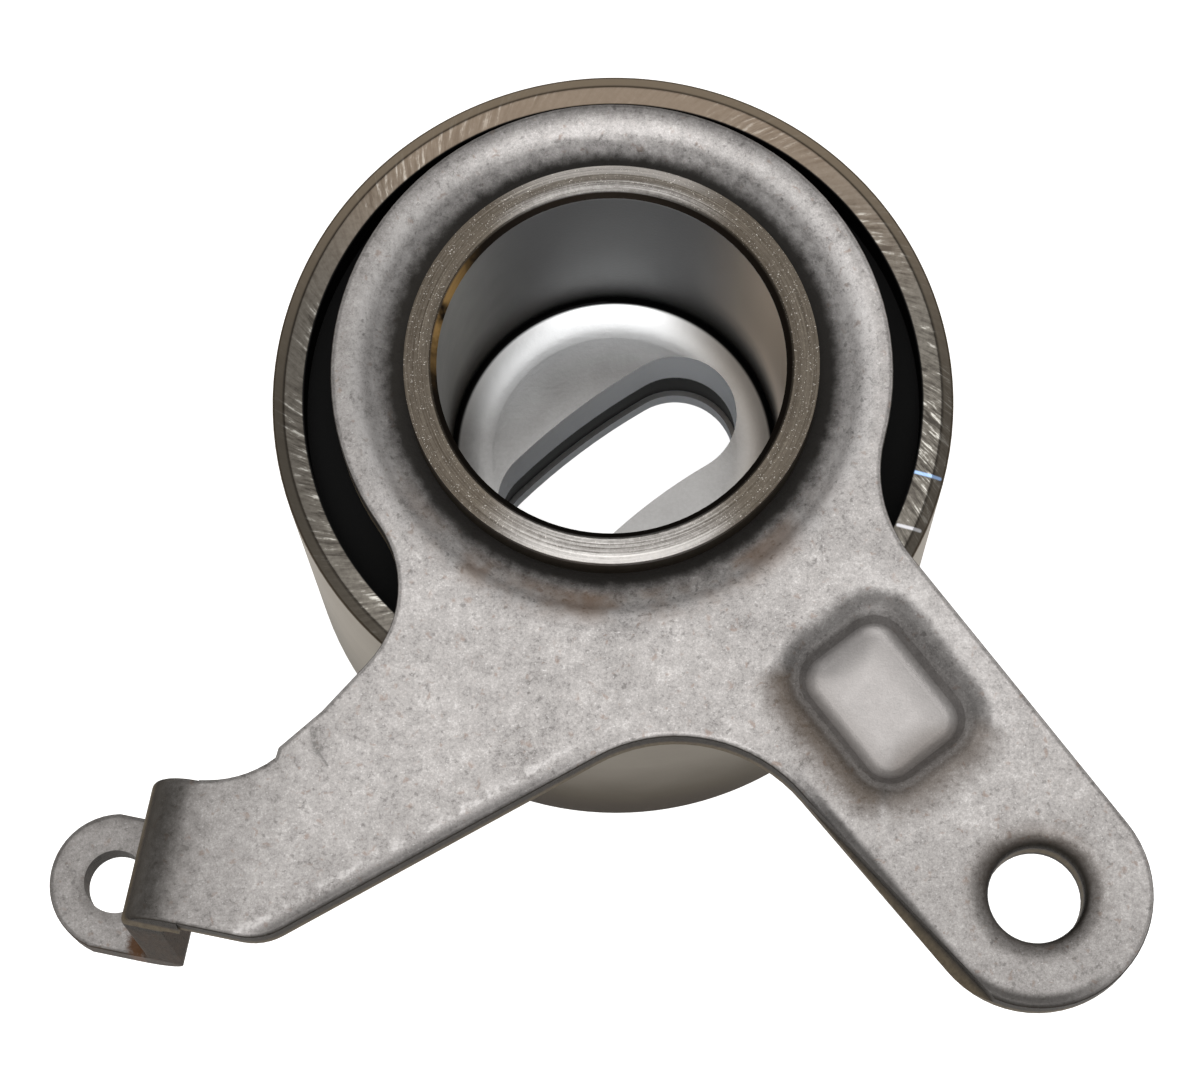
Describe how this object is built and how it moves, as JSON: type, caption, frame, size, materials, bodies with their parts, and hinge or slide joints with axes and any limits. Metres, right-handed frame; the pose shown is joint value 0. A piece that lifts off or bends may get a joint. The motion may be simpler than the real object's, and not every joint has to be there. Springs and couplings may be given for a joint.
{
  "type": "timing belt tensioner",
  "caption": "Eccentric timing belt tensioner: a smooth steel drum on a double-row bearing, carried by a stamped steel bracket with a pivot hole and a bent spring ear.",
  "frame": {"origin": "middle of the belt face on the drum's spin axis", "axes": "+Z along the spin axis, from the drum towards the bracket plate, which faces the engine; +X right and +Y up as in the picture, with the pivot hole at the lower right"},
  "size_m": [0.0939, 0.0851, 0.0498],
  "materials": {
    "bracket_steel": "matt grey phosphated pressed steel with dark specks",
    "hub_steel": "satin grey forged steel with a lathe-turned end face",
    "drum_steel": "satin turned steel, bare rim faces darker",
    "bearing_steel": "ground and polished bearing steel",
    "ball_steel": "polished",
    "cage_nylon": "natural moulded nylon",
    "seal_rubber": "matt black moulded rubber",
    "insert_steel": "plain pressed steel, hidden in the rubber"
  },
  "bodies": {
    "bracket": {"bracket_plate": "bracket_steel", "hub": "hub_steel", "inner_ring": "bearing_steel"},
    "pulley": {"drum": "drum_steel", "seal_front": "seal_rubber", "seal_insert_front": "insert_steel", "seal_rear": "seal_rubber", "seal_insert_rear": "insert_steel"},
    "cage_front": {"cage_front": "cage_nylon", "ball_front_01": "ball_steel", "ball_front_02": "ball_steel", "ball_front_03": "ball_steel", "ball_front_04": "ball_steel", "ball_front_05": "ball_steel", "ball_front_06": "ball_steel", "ball_front_07": "ball_steel", "ball_front_08": "ball_steel", "ball_front_09": "ball_steel", "ball_front_10": "ball_steel", "ball_front_11": "ball_steel", "ball_front_12": "ball_steel"},
    "cage_rear": {"cage_rear": "cage_nylon", "ball_rear_01": "ball_steel", "ball_rear_02": "ball_steel", "ball_rear_03": "ball_steel", "ball_rear_04": "ball_steel", "ball_rear_05": "ball_steel", "ball_rear_06": "ball_steel", "ball_rear_07": "ball_steel", "ball_rear_08": "ball_steel", "ball_rear_09": "ball_steel", "ball_rear_10": "ball_steel", "ball_rear_11": "ball_steel", "ball_rear_12": "ball_steel"}
  },
  "joints": [
    {"name": "pulley_spin", "type": "hinge", "parent": "bracket", "child": "pulley", "pos_m": [0, 0, 0], "axis": [0, 0, 1], "continuous": true},
    {"name": "front_cage_spin", "type": "hinge", "parent": "bracket", "child": "cage_front", "pos_m": [0, 0, 0.0093], "axis": [0, 0, 1], "continuous": true},
    {"name": "rear_cage_spin", "type": "hinge", "parent": "bracket", "child": "cage_rear", "pos_m": [0, 0, -0.0067], "axis": [0, 0, 1], "continuous": true}
  ],
  "couplings": [
    {"joint": "front_cage_spin", "follows": "pulley_spin", "ratio": 0.5687},
    {"joint": "rear_cage_spin", "follows": "pulley_spin", "ratio": 0.5687}
  ]
}
